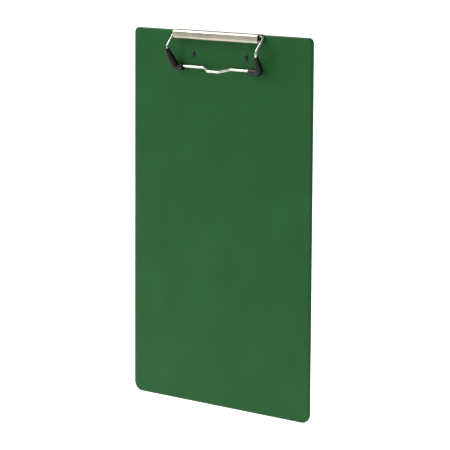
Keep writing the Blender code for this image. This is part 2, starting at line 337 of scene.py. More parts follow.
def turned(
    name: str, profile: np.ndarray, centre: Vector, finish: bpy.types.Material | None, steps: int = 64
) -> bpy.types.Object:
    """A solid of revolution about an axis along Y.

    Point (i, j) is centre + (r(i) cos t(j), y(i), r(i) sin t(j)), and the first and last points of the
    profile are poles on the axis.

    Args:
        name: the object's name.
        profile: (r, y) pairs from one pole to the other.
        centre: a point on the axis, whose Y is added to the profile's.
        finish: its material, or None for a cutter.
        steps: points round the axis.

    Returns:
        The object.
    """
    turn = np.arange(steps) * 2 * math.pi / steps
    r, y = profile[1:-1, :1], profile[1:-1, 1:]
    ring = np.stack([r * np.cos(turn), np.broadcast_to(y, (len(y), steps)), r * np.sin(turn)], -1)
    poles = np.array([[0, profile[0, 1], 0], [0, profile[-1, 1], 0]])
    points = np.concatenate([ring.reshape(-1, 3), poles]) + np.array(centre)
    return make_mesh(name, points, tube_faces(len(profile) - 2, steps), finish, crease=50)


def block_cutter(name: str, low: tuple[float, ...], high: tuple[float, ...]) -> bpy.types.Object:
    """A cutter that fills the space between two corners."""
    bounds = np.array([low, high])
    pick = np.array([[(k >> 2) & 1, (k >> 1) & 1, k & 1] for k in range(8)])
    points = np.take_along_axis(bounds, pick, axis=0)
    faces = [[0, 1, 3, 2], [4, 6, 7, 5], [0, 4, 5, 1], [2, 3, 7, 6], [0, 2, 6, 4], [1, 5, 7, 3]]
    return make_mesh(name, points, [np.array(faces)])


def hole_cutter(name: str, place: Vector, radius: float, reach: float) -> bpy.types.Object:
    """A round cutter along Y through a place."""
    profile = np.array([(0, -reach), (radius, -reach), (radius, reach), (0, reach)])
    return turned(name, profile, place, None, 48)


def carve(obj: bpy.types.Object, cutters: list[bpy.types.Object], crease: float = 40.0) -> None:
    """Take cutters out of an object and make the result its mesh.

    Args:
        obj: the piece to cut, whose mesh is replaced.
        cutters: closed meshes.
        crease: angle in degrees above which an edge stays sharp.
    """
    for cutter in cutters:
        mod = obj.modifiers.new(cutter.name, "BOOLEAN")
        mod.operation = "DIFFERENCE"
        mod.solver = "EXACT"
        mod.object = cutter
    graph = bpy.context.evaluated_depsgraph_get()
    cut = bpy.data.meshes.new_from_object(obj.evaluated_get(graph))
    obj.modifiers.clear()
    obj.data = cut
    cut.shade_smooth()
    cut.set_sharp_from_angle(angle=math.radians(crease))


def remove(objects: list[bpy.types.Object]) -> None:
    """Delete cutters once every piece has been cut."""
    for obj in objects:
        bpy.data.objects.remove(obj, do_unlink=True)


def settle(obj: bpy.types.Object, body: Body, slot: Slot, *nodes: str) -> None:
    """Make a piece ride its body and stand for its CAD nodes, and log it."""
    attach(obj, body.value)
    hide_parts(*nodes)
    LOG.info("%s: %d faces on %s for %s", obj.name, len(obj.data.polygons), body.value, ", ".join(nodes))


# ---------------------------------------------------------------- finishes


def linear(colour: str) -> tuple[float, float, float, float]:
    """An sRGB hex colour as linear red, green, blue and alpha."""
    channels = [int(colour[k : k + 2], 16) / 255 for k in (1, 3, 5)]
    return (*(c / 12.92 if c <= 0.04045 else ((c + 0.055) / 1.055) ** 2.4 for c in channels), 1.0)


def add(
    tree: bpy.types.NodeTree, kind: str, inputs: dict | None = None, **settings: object
) -> bpy.types.Node:
    """Add a node.

    Args:
        tree: the material's or world's node tree.
        kind: the node's Blender type.
        inputs: values or sockets for its inputs, by name or number.
        settings: its own properties.

    Returns:
        The node.
    """
    made = tree.nodes.new(kind)
    for key, value in settings.items():
        setattr(made, key, value)
    for key, value in (inputs or {}).items():
        if isinstance(value, bpy.types.NodeSocket):
            tree.links.new(value, made.inputs[key])
        else:
            made.inputs[key].default_value = value
    return made


# Numbers of a colour Mix node's sockets
MIX_FACTOR, MIX_A, MIX_B, MIX_RESULT = 0, 6, 7, 2

# A layer of relief: its height, strength and distance
Layer = tuple[bpy.types.NodeSocket, float, float]


@dataclass(frozen=True)
class Finish:
    """What every finish has: a name and the shader's own constants. A metal keeps the shader's IOR."""

    name: str
    metallic: float = 0.0
    ior: float = 1.5
    specular: float = 0.5
    roughness: float = 0.5

    def start(self) -> tuple[bpy.types.Material, bpy.types.NodeTree, bpy.types.NodeSocket]:
        """Make the material with its shader's constants.

        Returns:
            The material, its tree and the object's own coordinates.
        """
        made = bpy.data.materials.new(self.name)
        made.use_nodes = True
        tree = made.node_tree
        shader = tree.nodes["Principled BSDF"]
        shader.inputs["Metallic"].default_value = self.metallic
        if not self.metallic:
            shader.inputs["IOR"].default_value = self.ior
            shader.inputs["Specular IOR Level"].default_value = self.specular
        return made, tree, add(tree, "ShaderNodeTexCoord").outputs["Object"]

    @staticmethod
    def joined(
        made: bpy.types.Material,
        colour: bpy.types.NodeSocket,
        gloss: bpy.types.NodeSocket,
        relief: tuple[Layer, ...],
    ) -> bpy.types.Material:
        """Feed colour, roughness and relief to a material's shader.

        Args:
            made: the material.
            colour: its colour.
            gloss: its roughness.
            relief: its layers of relief, the lowest first.

        Returns:
            The material.
        """
        tree, links = made.node_tree, made.node_tree.links
        shader = tree.nodes["Principled BSDF"]
        layers = [
            add(tree, "ShaderNodeBump", {"Height": height, "Strength": strength, "Distance": distance})
            for height, strength, distance in relief
        ]
        for below, layer in zip(layers, layers[1:]):
            links.new(below.outputs[0], layer.inputs["Normal"])
        links.new(layers[-1].outputs[0], shader.inputs["Normal"])
        links.new(colour, shader.inputs["Base Color"])
        links.new(gloss, shader.inputs["Roughness"])
        return made

    def two_tone(
        self,
        made: bpy.types.Material,
        shade: bpy.types.NodeSocket,
        tones: tuple[str, str],
        cause: bpy.types.NodeSocket,
        swing: tuple[float, float],
        relief: tuple[Layer, ...],
    ) -> bpy.types.Material:
        """Complete a material of two tones, whose roughness swings about its usual value.

        Args:
            made: the material.
            shade: where its colour lies between the tones.
            tones: its colours at shade 0 and at shade 1.
            cause: what its roughness follows.
            swing: how far the roughness goes below and above its usual value.
            relief: its layers of relief, the lowest first.

        Returns:
            The material.
        """
        first, second = (linear(tone) for tone in tones)
        colour = add(
            made.node_tree,
            "ShaderNodeMix",
            {MIX_FACTOR: shade, MIX_A: first, MIX_B: second},
            data_type="RGBA",
        )
        gloss = add(
            made.node_tree,
            "ShaderNodeMapRange",
            {"Value": cause, "To Min": self.roughness - swing[0], "To Max": self.roughness + swing[1]},
        )
        return self.joined(made, colour.outputs[MIX_RESULT], gloss.outputs[0], relief)


@dataclass(frozen=True)
class CalenderedVinyl(Finish):
    """Plasticised PVC sheet rolled between engraved calenders: a fine even grain with a satin gloss.

    The eye sees a deep green that is slightly cloudy, tiny glints from the grain, faint rub marks from
    paper and hands, and a darker line where the two sheets are welded.
    """

    deep: str = "#16471f"
    pale: str = "#1d5127"
    weld: str = "#123a1a"
    rubbed: str = "#3a6644"
    cloud_size: float = 45 * MM
    # The real grain is about 0.3 mm across, and it is drawn at 0.9 mm so that it shows
    grain_size: float = 0.9 * MM
    rub_length: float = 60 * MM
    rub_width: float = 1.2 * MM
    rub_tilt: float = math.radians(7)
    # Patches of streaks to a metre
    rub_patches: float = 14.0
    roughness: float = 0.42
    gloss_swing: float = 0.03

    def build(self) -> bpy.types.Material:
        """Make the material."""
        made, tree, place = self.start()
        cloud, grain = (
            add(
                tree, "ShaderNodeTexNoise", {"Vector": place, "Scale": 1 / size, "Detail": detail}
            ).outputs["Fac"]
            for size, detail in ((self.cloud_size, 5.0), (self.grain_size, 3.0))
        )
        speck = add(tree, "ShaderNodeMath", {0: grain, 1: 0.35}, operation="MULTIPLY")
        cloudy = add(tree, "ShaderNodeMath", {0: cloud, 1: speck.outputs[0]}, operation="ADD")
        shade = add(
            tree, "ShaderNodeMapRange", {"Value": cloudy.outputs[0], "From Min": 0.25, "From Max": 1.1}
        )
        rubs = self.rubs(tree, place)
        rim = add(tree, "ShaderNodeAttribute", attribute_name="rim")
        edge = add(
            tree, "ShaderNodeMapRange", {"Value": rim.outputs["Fac"], "From Min": 0.72, "From Max": 1.0}
        )
        colour = linear(self.deep)
        for factor, tone in (
            (shade.outputs[0], self.pale),
            (rubs, self.rubbed),
            (edge.outputs[0], self.weld),
        ):
            colour = add(
                tree,
                "ShaderNodeMix",
                {MIX_FACTOR: factor, MIX_A: colour, MIX_B: linear(tone)},
                data_type="RGBA",
            ).outputs[MIX_RESULT]
        low, high = self.roughness - self.gloss_swing, self.roughness + self.gloss_swing
        gloss = add(tree, "ShaderNodeMapRange", {"Value": cloud, "To Min": low, "To Max": high})
        dull = add(
            tree, "ShaderNodeMath", {0: rubs, 1: 0.4, 2: gloss.outputs[0]}, operation="MULTIPLY_ADD"
        )
        relief = ((grain, 0.30, 0.09 * MM), (cloud, 0.25, 0.3 * MM))
        return self.joined(made, colour, dull.outputs[0], relief)

    def rubs(self, tree: bpy.types.NodeTree, place: bpy.types.NodeSocket) -> bpy.types.NodeSocket:
        """Faint streaks from sheets of paper pushed up under the bar.

        Args:
            tree: the material's tree.
            place: the object's own coordinates.

        Returns:
            A factor that is above 0 only in the streaks.
        """
        lie = add(
            tree,
            "ShaderNodeMapping",
            {
                "Vector": place,
                "Rotation": (0.0, self.rub_tilt, 0.0),
                "Scale": (1 / self.rub_width, 1 / self.rub_width, 1 / self.rub_length),
            },
        )
        streak, patch = (
            add(
                tree, "ShaderNodeTexNoise", {"Vector": vector, "Scale": scale, "Detail": detail}
            ).outputs["Fac"]
            for vector, scale, detail in ((lie.outputs[0], 1.0, 2.0), (place, self.rub_patches, 1.0))
        )
        both = add(tree, "ShaderNodeMath", {0: streak, 1: patch}, operation="MULTIPLY")
        return add(
            tree,
            "ShaderNodeMapRange",
            {"Value": both.outputs[0], "From Min": 0.33, "From Max": 0.52, "To Max": 0.10},
        ).outputs[0]


@dataclass(frozen=True)
class NickelledStrip(Finish):
    """Cold-rolled steel strip with a dull nickel plate: warm grey metal with fine lines along the strip.

    The eye sees long soft streaks from the rolls, a slightly uneven gloss and a few handling marks.
    """

    light: str = "#a9a495"
    dark: str = "#989384"
    # Roll lines are about 0.05 mm apart, and they are drawn at 0.5 mm so that they show
    line_gap: float = 0.5 * MM
    line_length: float = 45 * MM
    stain_size: float = 9 * MM
    roughness: float = 0.30

    def build(self) -> bpy.types.Material:
        """Make the material."""
        made, tree, place = self.start()
        drawn = add(
            tree,
            "ShaderNodeMapping",
            {"Vector": place, "Scale": (1 / self.line_length, 1 / self.line_gap, 1 / self.line_gap)},
        )
        rolled, stain = (
            add(
                tree, "ShaderNodeTexNoise", {"Vector": vector, "Scale": scale, "Detail": detail}
            ).outputs["Fac"]
            for vector, scale, detail in ((drawn.outputs[0], 1.0, 4.0), (place, 1 / self.stain_size, 3.0))
        )
        tone = add(tree, "ShaderNodeMath", {0: rolled, 1: 0.5, 2: stain}, operation="MULTIPLY_ADD")
        shade = add(
            tree, "ShaderNodeMapRange", {"Value": tone.outputs[0], "From Min": 0.5, "From Max": 1.0}
        )
        tones = (self.dark, self.light)
        relief = ((rolled, 0.25, 0.03 * MM),)
        return self.two_tone(made, shade.outputs[0], tones, stain, (0.06, 0.08), relief)


@dataclass(frozen=True)
class PlatedSpringWire(Finish):
    """Drawn spring wire with a bright nickel plate: pale metal with faint lines along its length.

    The eye sees a clean highlight that wavers slightly, and duller spots where fingers lift the bar.
    """

    bright: str = "#c8cdc2"
    worn: str = "#a3a79a"
    # Draw lines are hair-fine, and they are drawn one to each 12th of the way round so that they show
    line_length: float = 30 * MM
    spot_size: float = 3 * MM
    roughness: float = 0.32

    def build(self) -> bpy.types.Material:
        """Make the material."""
        made, tree, place = self.start()
        along = add(tree, "ShaderNodeAttribute", attribute_name="along")
        turn = add(tree, "ShaderNodeAttribute", attribute_name="round")
        run = add(
            tree,
            "ShaderNodeMath",
            {0: along.outputs["Fac"], 1: 1 / self.line_length},
            operation="MULTIPLY",
        )
        flat = add(tree, "ShaderNodeCombineXYZ", {"X": run.outputs[0], "Y": turn.outputs["Fac"]})
        drawn = add(tree, "ShaderNodeMapping", {"Vector": flat.outputs[0], "Scale": (1.0, 6.0, 1.0)})
        line, spot = (
            add(
                tree, "ShaderNodeTexNoise", {"Vector": vector, "Scale": scale, "Detail": detail}
            ).outputs["Fac"]
            for vector, scale, detail in ((drawn.outputs[0], 2.0, 3.0), (place, 1 / self.spot_size, 2.0))
        )
        tone = add(tree, "ShaderNodeMath", {0: line, 1: spot}, operation="MULTIPLY")
        shade = add(
            tree, "ShaderNodeMapRange", {"Value": tone.outputs[0], "From Min": 0.12, "From Max": 0.4}
        )
        tones = (self.worn, self.bright)
        relief = ((line, 0.2, 0.02 * MM),)
        return self.two_tone(made, shade.outputs[0], tones, spot, (0.05, 0.12), relief)


@dataclass(frozen=True)
class MouldedSoftVinyl(Finish):
    """Plastisol elbows dipped and moulded in soft black PVC: nearly black, with a waxy sheen.

    The eye sees a slightly uneven skin, a bloom of plasticiser that greys it in patches, and small dents.
    """

    body: str = "#090707"
    bloom: str = "#151111"
    skin_size: float = 0.7 * MM
    bloom_size: float = 5 * MM
    roughness: float = 0.40

    def build(self) -> bpy.types.Material:
        """Make the material."""
        made, tree, place = self.start()
        skin, bloom = (
            add(
                tree, "ShaderNodeTexNoise", {"Vector": place, "Scale": 1 / size, "Detail": detail}
            ).outputs["Fac"]
            for size, detail in ((self.skin_size, 3.0), (self.bloom_size, 4.0))
        )
        shade = add(tree, "ShaderNodeMapRange", {"Value": bloom, "From Min": 0.35, "From Max": 0.7})
        tones = (self.body, self.bloom)
        relief = ((bloom, 0.5, 0.15 * MM), (skin, 0.4, 0.05 * MM))
        return self.two_tone(made, shade.outputs[0], tones, bloom, (0.08, 0.12), relief)


@dataclass(frozen=True)
class StovedLacquer(Finish):
    """Enamel baked on a steel rivet head: dark green and glossy, with small chips where it has been set."""

    colour: str = "#0a2411"
    chip: str = "#3a4a3a"
    peel_size: float = 0.6 * MM
    chip_size: float = 0.8 * MM
    roughness: float = 0.28

    def build(self) -> bpy.types.Material:
        """Make the material."""
        made, tree, place = self.start()
        peel, chips = (
            add(
                tree, "ShaderNodeTexNoise", {"Vector": place, "Scale": 1 / size, "Detail": detail}
            ).outputs["Fac"]
            for size, detail in ((self.peel_size, 2.0), (self.chip_size, 5.0))
        )
        bare = add(
            tree,
            "ShaderNodeMapRange",
            {"Value": chips, "From Min": 0.66, "From Max": 0.72, "To Max": 0.7},
        )
        tones = (self.colour, self.chip)
        relief = ((peel, 0.3, 0.05 * MM),)
        return self.two_tone(made, bare.outputs[0], tones, peel, (0.06, 0.1), relief)


@dataclass(frozen=True)
class PressedFibreboard(Finish):
    """Grey board pressed from waste paper: matt and warm grey, with short fibres and dark specks."""

    light: str = "#9a9183"
    dark: str = "#6f675b"
    fibre_width: float = 0.15 * MM
    fibre_length: float = 1.5 * MM
    roughness: float = 0.88

    def build(self) -> bpy.types.Material:
        """Make the material."""
        made, tree, place = self.start()
        lie = add(
            tree,
            "ShaderNodeMapping",
            {"Vector": place, "Scale": (1 / self.fibre_length, 1 / self.fibre_width, 1 / self.fibre_width)},
        )
        fibre = add(
            tree, "ShaderNodeTexNoise", {"Vector": lie.outputs[0], "Scale": 1.0, "Detail": 4.0}
        ).outputs["Fac"]
        relief = ((fibre, 0.5, 0.1 * MM),)
        return self.two_tone(made, fibre, (self.dark, self.light), fibre, (0.08, 0.08), relief)


@dataclass(frozen=True)
class Palette:
    """The object's finishes, made once."""

    vinyl: bpy.types.Material
    nickel: bpy.types.Material
    wire: bpy.types.Material
    caps: bpy.types.Material
    lacquer: bpy.types.Material
    fibreboard: bpy.types.Material

    @classmethod
    def mixed(cls) -> "Palette":
        """Make every finish."""
        return cls(
            vinyl=CalenderedVinyl("calendered green vinyl", ior=1.53, specular=0.08).build(),
            nickel=NickelledStrip("dull nickelled strip", metallic=1.0).build(),
            wire=PlatedSpringWire("plated spring wire", metallic=1.0).build(),
            caps=MouldedSoftVinyl("moulded soft vinyl", ior=1.52, specular=0.15).build(),
            lacquer=StovedLacquer("stoved green lacquer", ior=1.52, specular=0.2).build(),
            fibreboard=PressedFibreboard("pressed fibreboard", specular=0.3).build(),
        )


# ---------------------------------------------------------------- board


@dataclass
class Board:
    """Fibreboard between two vinyl sheets, which are rolled over its edges and welded round the rim."""

    palette: Palette
    top_corner: float = 5 * MM
    bottom_corner: float = 9 * MM
    edge_rounding: float = 1.2 * MM
    foil: float = 0.35 * MM
    rim_width: float = 1.0 * MM
    weld_gap: float = 0.10 * MM
    weld_lip: float = 0.08 * MM
    wave: float = 0.05 * MM
    straight_rim: float = 6 * MM
    dimple: float = 0.12 * MM
    dimple_reach: float = 4.5 * MM
    seed: int = 7

    def __post_init__(self) -> None:
        """Read the board's sizes and the rivets' places from the model."""
        low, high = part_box("front_cover")
        self.half_width = (high.x - low.x) / 2
        self.half_height = (high.z - low.z) / 2
        self.front = low.y
        self.rivet_places = [self.rivet_place(side) for side in Side]

    def rivet_place(self, side: Side) -> Vector:
        """The middle of a rivet on the board's back plane."""
        low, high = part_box(f"rivet_{side.name.lower()}")
        return Vector(((low.x + high.x) / 2, 0, (low.z + high.z) / 2))

    def build(self) -> None:
        """Make both covers and finish the core."""
        self.cover("front_cover_vinyl", "front_cover", facing_back=False)
        self.cover("back_cover_vinyl", "back_cover", facing_back=True)
        core = frame["nodes"]["board_core"]
        core.data.materials.clear()
        core.data.materials.append(self.palette.fibreboard)
        LOG.info("board_core: CAD mesh with fibreboard")

    def waviness(self, x: np.ndarray, z: np.ndarray) -> np.ndarray:
        """Slow waves of a sheet glued to board: a mean of five sines with seeded directions and phases.

        Args:
            x: places across the board.
            z: places up the board.

        Returns:
            How far the sheet lies from flat at each place.
        """
        rng = np.random.default_rng(self.seed)
        total = np.zeros_like(x)
        for _ in range(5):
            heading, phase = rng.uniform(0, 2 * math.pi, 2)
            wavelength = rng.uniform(70, 180) * MM
            travel = x * math.cos(heading) + z * math.sin(heading)
            total = total + np.sin(2 * math.pi * travel / wavelength + phase)
        return self.wave * total / 5

    def sunk(self, x: np.ndarray, z: np.ndarray) -> np.ndarray:
        """How far the sheet is pressed in near the rivets: a bell curve round each.

        Args:
            x: places across the board.
            z: places up the board.

        Returns:
            The depth at each place.
        """
        total = np.zeros_like(x)
        for place in self.rivet_places:
            apart = np.hypot(x - place.x, z - place.z)
            total = total + self.dimple * np.exp(-((apart / self.dimple_reach) ** 2))
        return total

    def face_grid(self) -> tuple[np.ndarray, np.ndarray]:
        """Places on a flat rounded rectangle, the board's outline drawn in by the edge's rounding.

        Row z spans u w(z), with u from -1 to 1. Half width w is constant, and within a corner radius r
        of the top or bottom it is less by r - sqrt(r^2 - h^2), where h is the height into the corner.

        Returns:
            X and Z on a grid.
        """
        half_x = self.half_width - self.edge_rounding
        half_z = self.half_height - self.edge_rounding
        top = self.top_corner - self.edge_rounding
        bottom = self.bottom_corner - self.edge_rounding
        arc = np.linspace(0, math.pi / 2, 13)
        spots = tuple(place.x for place in self.rivet_places)
        near, fine = 8 * MM, 0.6 * MM
        step = 4 * MM
        middle = lines(-half_z + bottom, half_z - top, step, (self.rivet_places[0].z,), near, fine)
        lower = -half_z + bottom - bottom * np.sin(arc[:0:-1])
        upper = half_z - top + top * np.sin(arc[1:])
        z = np.concatenate([lower, middle, upper])
        above = np.clip(z - (half_z - top), 0, top)
        below = np.clip((-half_z + bottom) - z, 0, bottom)
        shrink = top - np.sqrt(top**2 - above**2) + bottom - np.sqrt(bottom**2 - below**2)
        u = lines(-half_x, half_x, step, spots, near, fine) / half_x
        return u[None, :] * (half_x - shrink)[:, None], np.repeat(z[:, None], len(u), 1)

    def outward(self, x: np.ndarray, z: np.ndarray) -> tuple[np.ndarray, np.ndarray]:
        """Directions square to the outline, from the nearest point of the corners' centre lines.

        Args:
            x: places across the board, on the outline.
            z: places up the board, on the outline.

        Returns:
            X and Z of a unit direction at each place.
        """
        corner = np.where(z > 0, self.top_corner, self.bottom_corner)
        cx = np.clip(x, -(self.half_width - corner), self.half_width - corner)
        cz = np.clip(z, -(self.half_height - corner), self.half_height - corner)
        size = np.hypot(x - cx, z - cz)
        return (x - cx) / size, (z - cz) / size

    def edge_rings(self) -> list[tuple[float, float, float]]:
        """Rings of the cover's edge: reach past the face's border, depth below the face, and rim value.

        They follow a quarter circle over the edge, then the side down to the weld, a small lip there,
        the flange in to the core's space, and the wall back up to the sheet's inner side.
        """
        rounding = self.edge_rounding
        weld = -self.front / 2 - self.weld_gap / 2
        angle = np.linspace(0, math.pi / 2, 10)[1:]
        rings = [
            (rounding * math.sin(a), rounding * (1 - math.cos(a)), 0.6 * float(a) / (math.pi / 2))
            for a in angle
        ]
        inner = rounding - self.rim_width
        return rings + [
            (rounding, weld - self.weld_lip, 0.8),
            (rounding - self.weld_lip * 0.35, weld - self.weld_lip * 0.3, 0.95),
            (rounding - self.weld_lip, weld, 1.0),
            (inner, weld, 1.0),
            (inner, self.foil, 1.0),
        ]

    def cover(self, name: str, node: str, facing_back: bool) -> None:
        """Make one cover as a closed shell and cut it for the clip.

        The outer face is the grid at the sheet's surface. Its border goes over the rings of the edge to
        the same grid one foil's thickness below. The waves and dimples move all of them alike.

        Args:
            name: the piece's name.
            node: the CAD node it stands for.
            facing_back: whether it is the cover on the back.
        """
        x, z = self.face_grid()
        rows, columns = x.shape
        number = np.arange(rows * columns).reshape(rows, columns)
        border = np.concatenate([number[-1, :], number[-2::-1, -1], number[0, -2::-1], number[1:-1, 0]])
        flat = np.stack([x.ravel(), np.zeros(x.size), z.ravel()], -1)
        nx, nz = self.outward(flat[border, 0], flat[border, 2])
        square = np.stack([nx, np.zeros(len(nx)), nz], -1)
        rings = self.edge_rings()
        layers = [flat[border] + square * reach + np.array([0, down, 0]) for reach, down, _ in rings]
        inside = flat + np.array([0, self.foil, 0])
        points = np.concatenate([flat, *layers, inside])
        points[:, 1] += self.waviness(points[:, 0], points[:, 2]) * (1 - self.rim_fade(points))
        points[:, 1] += self.sunk(points[:, 0], points[:, 2]) + self.front
        rim = np.concatenate(
            [np.zeros(len(flat)), *(np.full(len(border), value) for *_, value in rings), np.ones(len(flat))]
        )
        around = len(border)
        quads = grid_quads(rows, columns)
        strips = grid_quads(len(rings), around, True) + len(flat)
        ring = np.arange(around)
        first = len(flat) + ring
        last = len(flat) + (len(rings) - 1) * around + ring
        inner = len(flat) + len(rings) * around
        join_outer = np.stack([border, first, np.roll(first, -1), np.roll(border, -1)], -1)
        join_inner = np.stack([last, border + inner, np.roll(border, -1) + inner, np.roll(last, -1)], -1)
        turned_over = quads[:, ::-1] + inner
        if not self.same_way(quads, join_outer):
            quads, turned_over = quads[:, ::-1], turned_over[:, ::-1]
        if facing_back:
            points[:, 1] = self.front - points[:, 1]
        groups = [quads, join_outer, strips, join_inner, turned_over]
        obj = make_mesh(name, points, groups, self.palette.vinyl, {"rim": rim})
        cutters = self.clip_cutters()
        carve(obj, cutters)
        remove(cutters)
        settle(obj, Body.BOARD, Slot.VINYL, node)

    def rim_fade(self, points: np.ndarray) -> np.ndarray:
        """1 at the board's outline, falling to 0 inside it, so that the weld line runs straight.

        Args:
            points: places on the cover, one a row.

        Returns:
            The factor at each place.
        """
        inside = np.minimum(
            self.half_width - np.abs(points[:, 0]), self.half_height - np.abs(points[:, 2])
        )
        t = np.clip(inside / self.straight_rim, 0, 1)
        return 1 - t * t * (3 - 2 * t)

    @staticmethod
    def same_way(quads: np.ndarray, joins: np.ndarray) -> bool:
        """Whether two groups of faces that share an edge run it in opposite directions, as they should.

        Args:
            quads: the cover's outer faces.
            joins: the faces that continue them over the border.

        Returns:
            True if they do.
        """
        a, b = joins[0, 0], joins[0, 3]
        shared = quads[np.isin(quads, [a, b]).sum(1) == 2][0].tolist()
        return shared[(shared.index(a) + 1) % 4] == b

    def clip_cutters(self) -> list[bpy.types.Object]:
        """Blocks and rods that clear the hinge channel, its rear leg and the rivets."""
        low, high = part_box("hinge_channel")
        sheet = HingeChannel.thickness
        rear = sheet + GAP + CLEARANCE
        top = high.z - sheet - CLEARANCE * 2
        beyond = high.z + OVERRUN
        cutters = [
            block_cutter(
                "rear leg cutter", (low.x - GAP, -rear, low.z - GAP), (high.x + GAP, OVERRUN, beyond)
            ),
            block_cutter("top edge cutter", (low.x - GAP, -OVERRUN, top), (high.x + GAP, OVERRUN, beyond)),
        ]
        for place in self.rivet_places:
            cutters.append(hole_cutter("rivet cutter", place, Rivets.shank + CLEARANCE * 2, OVERRUN))
        return cutters


# ---------------------------------------------------------------- clip


@dataclass
class HingeChannel:
    """Strip bent over the board's top edge: a rear leg behind it and a rolled tube in front of it."""

    palette: Palette
    board: Board
    thickness: ClassVar[float] = 0.8 * MM
    roll: float = 2.2 * MM
    lip_roll: float = 1.2 * MM
    rear_bend: float = 1.0 * MM
    floor_drop: float = 8.4 * MM
    lip_height: float = 2.3 * MM
    foot_corner: float = 5 * MM
    leg_length: float = 27 * MM
    cut_rounding: float = 0.22 * MM
    dimple: float = 0.10 * MM
    dimple_reach: float = 3.6 * MM
    # Grid lines within this distance of a rivet have the fine spacing
    near: float = 7 * MM
    fine: float = 0.7 * MM

    def section(self) -> np.ndarray:
        """The sheet's middle line in the Y-Z plane: foot, rear leg, top, front, floor and inner lip."""
        low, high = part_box("hinge_channel")
        half = self.thickness / 2
        rear, top, face = high.y - half, high.z - half, low.y + half
        floor = high.z - self.floor_drop + half
        lip = self.board.front - GAP - half
        corners = np.array(
            [
                (rear, low.z),
                (rear, top),
                (face, top),
                (face, floor),
                (lip, floor),
                (lip, floor - half + self.lip_height),
            ]
        )
        radii = [self.rear_bend, self.roll, self.roll, self.lip_roll]
        route = rounded_route(corners, radii, math.radians(4), 2 * MM)
        total = lengths(route)[-1]
        rivet = self.board.rivet_places[0].z - low.z
        ends = self.cut_rounding * (1 - np.cos(np.linspace(0, math.pi / 2, 7)))
        corner = self.foot_corner * (1 - np.cos(np.linspace(0, math.pi / 2, 13)))
        near = np.arange(max(rivet - self.near, self.thickness), rivet + self.near, self.fine)
        wanted = np.concatenate([lengths(route), ends, total - ends, corner, near])
        return at_lengths(route, spread(wanted, GRID_GAP))

    def build(self) -> None:
        """Make the channel as a closed sheet with rounded cut edges.

        Point (i, j) of each side is m(i) + x(i, j) plus or minus h n(i), where m is the middle line and n
        is square to it. h is half the thickness, and towards the cut edges it falls as a quarter circle
        to nothing, so the two sides meet there. Near the foot, a row is shortened by the corner's arc.
        """
        low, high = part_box("hinge_channel")
        middle = self.section()
        along = lengths(middle)
        slope = np.gradient(middle, along, axis=0)
        slope /= np.linalg.norm(slope, axis=1, keepdims=True)
        square = np.stack([-slope[:, 1], slope[:, 0]], -1)
        half_length, centre = (high.x - low.x) / 2, (high.x + low.x) / 2
        into = np.clip(self.foot_corner - along, 0, self.foot_corner)
        shorter = self.foot_corner - np.sqrt(self.foot_corner**2 - into**2)
        ends = self.cut_rounding * (1 - np.cos(np.linspace(0, math.pi / 2, 7)))
        spots = tuple(place.x - centre for place in self.board.rivet_places)
        inner = lines(-half_length, half_length, 2.5 * MM, spots, self.near, self.fine)
        u = spread(np.concatenate([inner, half_length - ends, ends - half_length]), GRID_GAP) / half_length
        x = u[None, :] * (half_length - shorter)[:, None]
        far_x = np.abs(x) - (half_length - self.foot_corner)
        far_z = self.foot_corner - along[:, None]
        arc = self.foot_corner - np.hypot(np.clip(far_x, 0, None), np.clip(far_z, 0, None))
        edge = np.minimum((half_length - shorter)[:, None] * (1 - np.abs(u[None, :])), along[:, None])
        edge = np.where((far_x > 0) & (far_z > 0), np.minimum(edge, arc), edge)
        edge = np.clip(np.minimum(edge, along[-1] - along[:, None]), 0, self.cut_rounding)
        half = self.thickness / 2 * np.sqrt(1 - (1 - edge / self.cut_rounding) ** 2)
        line, normal = (
            [np.broadcast_to(each[:, k : k + 1], x.shape) for k in (0, 1)] for each in (middle, square)
        )
        base = np.stack([x + centre, *line], -1)
        on_leg = (along < self.leg_length)[:, None]
        for place in self.board.rivet_places:
            apart = np.hypot(base[..., 0] - place.x, base[..., 2] - place.z)
            base[..., 1] -= self.dimple * np.exp(-((apart / self.dimple_reach) ** 2)) * on_leg
        push = np.stack([np.zeros_like(x), *normal], -1)
        rows, columns = x.shape
        sides = [(base + sign * half[..., None] * push).reshape(-1, 3) for sign in (1, -1)]
        number = np.arange(rows * columns).reshape(rows, columns)
        other = number + rows * columns
        for rim in (np.s_[0, :], np.s_[-1, :], np.s_[:, 0], np.s_[:, -1]):
            other[rim] = number[rim]
        quads = grid_quads(rows, columns)
        groups = [quads, other.ravel()[quads][:, ::-1]]
        points = np.concatenate(sides)
        used = np.unique(np.concatenate([group.ravel() for group in groups]))
        renumber = np.zeros(len(points), int)
        renumber[used] = np.arange(len(used))
        groups = [renumber[group] for group in groups]
        obj = make_mesh("hinge_channel_strip", points[used], groups, self.palette.nickel, crease=60)
        reach = self.thickness * 3
        cutters = [
            hole_cutter("rivet cutter", place, Rivets.shank + CLEARANCE, reach)
            for place in self.board.rivet_places
        ]
        carve(obj, cutters, 60)
        remove(cutters)
        settle(obj, Body.BOARD, Slot.NICKEL, "hinge_channel")


